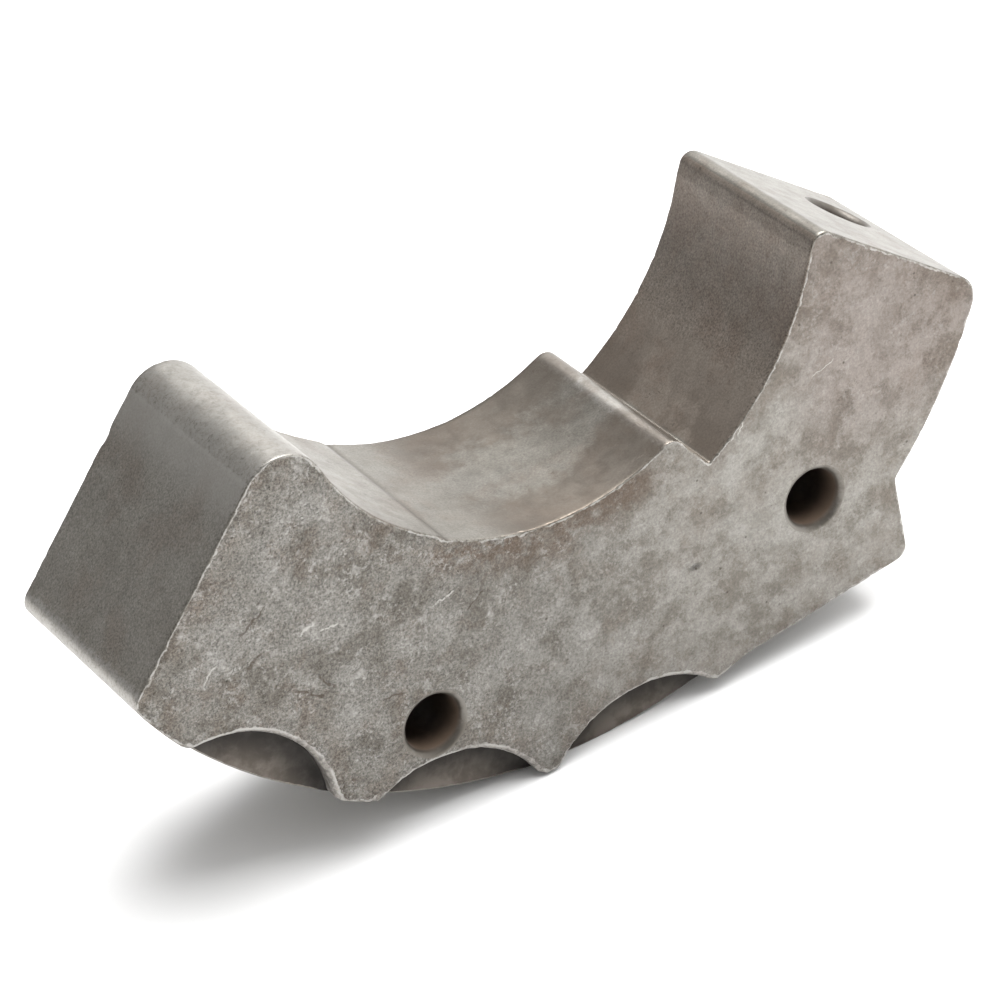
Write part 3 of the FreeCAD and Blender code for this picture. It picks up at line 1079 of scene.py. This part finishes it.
def cut():
    """Machined and rolled-on faces: satin and faintly mottled, paler where the corners are rubbed."""
    f = Finish("steel_cut")
    x, y, z = f.split(f.place)
    facing_x, _, facing_z = f.split(f.tree.nodes.new("ShaderNodeTexCoord").outputs["Normal"])
    end_side = f.band(facing_x, -0.70, -0.74)
    cloud = f.patches((300, 9, 0.68), (0.40, 0.60))
    patch = f.patches((95, 5, 0.6, 0.4), (0.38, 0.62), (2, 6, 4))
    brown = f.patches((120, 7, 0.66, 0.2), (0.48, 0.64), (3, 8, 2))
    colour = f.mix(cloud, (0.214, 0.199, 0.174), (0.252, 0.237, 0.209))
    colour = f.lay(colour, patch, 0.35, (0.275, 0.261, 0.236))
    colour = f.lay(colour, brown, 0.45, (0.192, 0.158, 0.130))
    # fine grain and pale flecks, strongest on the end face
    grain = f.noise(4200, 3, 0.7)
    colour = f.times(colour, f.math("ADD", f.swing(grain, f.band(facing_x, -0.70, -0.74, 1.1, 2.2)), 1.0))
    fleck = f.both(f.patches((1700, 6, 0.75, 0.5), (0.52, 0.66), (9, 4, 2)), end_side)
    colour = f.lay(colour, fleck, 0.35, (0.36, 0.345, 0.32))
    # the large seat is paler and warmer, with painted shade toward its upper end
    large = f.both(f.band(facing_x, -0.40, -0.52), f.band(x, *LARGE_SEAT_X))
    upper_shade = f.both(f.band(facing_x, -0.66, -0.90), large)
    shade = f.math("MULTIPLY", f.band(large, 0.0, 1.0, 1.0, 1.22), f.band(upper_shade, 0.0, 1.0, 1.0, 0.66))
    colour = f.times(colour, shade)
    colour = f.mix(large, colour, f.times(colour, WARMER_TINT))
    # small dark marks, gathered in patches
    mark = f.both(f.patches((1300, 5, 0.74, 0.8), (0.43, 0.33), (1, 2, 9)),
                  f.patches((170, 4, 0.6), (0.42, 0.60), (6, 3, 8)))
    colour = f.lay(colour, mark, 0.60, (0.095, 0.080, 0.066))
    # rubbed roundings, with pits along their lower border
    gap = f.attr("rounding")
    rag = f.patches((1500, 7, 0.74, 0.3), (0.35, 0.65), span=(-0.28, 0.28))
    colour = f.lay(colour, f.band(f.math("ADD", gap, rag), 0.75, -0.25), 0.46, RUBBED)
    pits = f.both(f.band(gap, 1.5, 0.05), f.patches((2300, 5, 0.7, 0.9), (0.47, 0.38), (4, 4, 4)),
                  f.band(facing_x, -0.25, -0.45))
    colour = f.lay(colour, pits, 0.42, (0.085, 0.072, 0.060))
    # the end face is paler toward its top rounding
    pale = f.both(f.band(gap, 7.0, 1.2), end_side, f.band(z, *END_TOP_Z))
    colour = f.lay(colour, pale, 0.62, (0.40, 0.385, 0.36))
    # small seat: brown toward both rims, darker toward -X, a paler worn patch left in the middle
    wander = f.patches((160, 7, 0.7, 0.3), (0.3, 0.7), (5, 2, 8), (-0.005, 0.005))
    across = f.math("ADD", f.math("ABSOLUTE", y), wander)
    seat_zone = f.both(f.band(x, *SEAT_LEFT_X), f.band(x, *SEAT_RIGHT_X), f.band(facing_z, 0.70, 0.85))
    edge_side = f.both(f.band(across, *SEAT_MIDDLE_Y), seat_zone)
    colour = f.lay(colour, edge_side, 0.60, (0.150, 0.122, 0.098))
    colour = f.mix(seat_zone, colour, f.times(colour, f.band(x, *SEAT_STEP_X, 0.84, 1.05)))
    # painted shade in the groove across the small seat, and pits along the rims
    colour = f.lay(colour, f.band(f.attr("crease"), 0.75, 0.15), 0.5, (0.11, 0.096, 0.083))
    rim_pits = f.both(f.band(f.attr("rim"), 0.9, 0.1), f.patches((2600, 4, 0.7, 0.4), (0.48, 0.40), (1, 7, 3)))
    colour = f.lay(colour, rim_pits, 0.55, (0.070, 0.058, 0.048))
    colour = worn_rim(f, 0.10, 0.08, 0.55, BARE, colour)
    rough = f.patches((500, 3, 0.6), (0.3, 0.7), (4, 8, 8), (0.36, 0.44))
    height = f.math("ADD", grain, f.math("MULTIPLY", cloud, 0.6))
    height = f.math("SUBTRACT", height, f.math("MAXIMUM", mark, pits))
    return f.done(colour, rough, height, 1.0, 0.000006)


def pocket():
    """Pockets: left as milled, brown and dull, with paler rubbed walls and painted shade on the floor beside the
    walls.
    """
    f = Finish("steel_pocket")
    cloud = f.patches((330, 7, 0.62, 0.2), (0.36, 0.64))
    colour = f.mix(cloud, (0.072, 0.060, 0.049), (0.120, 0.103, 0.087))
    wall = f.band(f.split(f.place)[1], (FLOOR - 0.15) * MM, (FLOOR - 0.5) * MM)
    # painted shade: the floor is darker beside its wall, as if in the wall's shadow
    colour = f.times(colour, f.band(f.attr("rim"), 2.35, 6.0, 0.22, 1.25))
    rubbed = f.both(wall, f.patches((1500, 6, 0.72), (0.40, 0.60), span=(0.45, 1.0)))
    colour = f.lay(colour, rubbed, 0.9, (0.40, 0.375, 0.345))
    colour = worn_rim(f, 0.30, 0.20, 0.60, BARE_POCKET, colour)
    metal = f.band(wall, 0.0, 1.0, 0.60, 0.80)
    return f.done(colour, f.band(cloud, 0.0, 1.0, 0.58, 0.46), f.noise(2200, 3, 0.6), metal, 0.00001)


def bore():
    """Drilled holes: dull brown film inside, painted nearly black deeper down as shade, and painted darker still in
    the top hole; the colour of the flat side on the eased mouth.
    """
    f = Finish("steel_bore")
    cloud = f.patches((260, 9, 0.74), (0.42, 0.58))
    gap = f.attr("mouth")
    # painted shade: nearly black deep in the bores, turning to brown film toward the mouth
    colour = f.mix(cloud, (0.020, 0.013, 0.009), (0.036, 0.025, 0.018))
    colour = f.mix(f.band(gap, 4.2, 1.0), colour, (0.125, 0.090, 0.066))
    # painted shade: the top hole is darker, its eased mouth too
    high = f.band(f.split(f.place)[2], *TOP_HOLE_SHADE_Z)
    colour = f.times(colour, f.band(high, 0.0, 1.0, 1.0, 0.30))
    near_mouth = f.math("MULTIPLY", f.band(gap, 1.25, 0.45), f.band(high, 0.0, 1.0, 1.0, 0.55))
    eased = f.mix(cloud, (0.150, 0.136, 0.118), (0.205, 0.192, 0.172))
    colour = f.mix(near_mouth, colour, eased)
    metal = f.band(near_mouth, 0.0, 1.0, 0.10, 1.0)
    return f.done(colour, 0.46, f.noise(1800, 3, 0.6), metal, 0.00001)


for make in (plate, cut, pocket, bore):
    mesh.materials.append(make())

bpy.context.scene.view_settings.view_transform = "Standard"
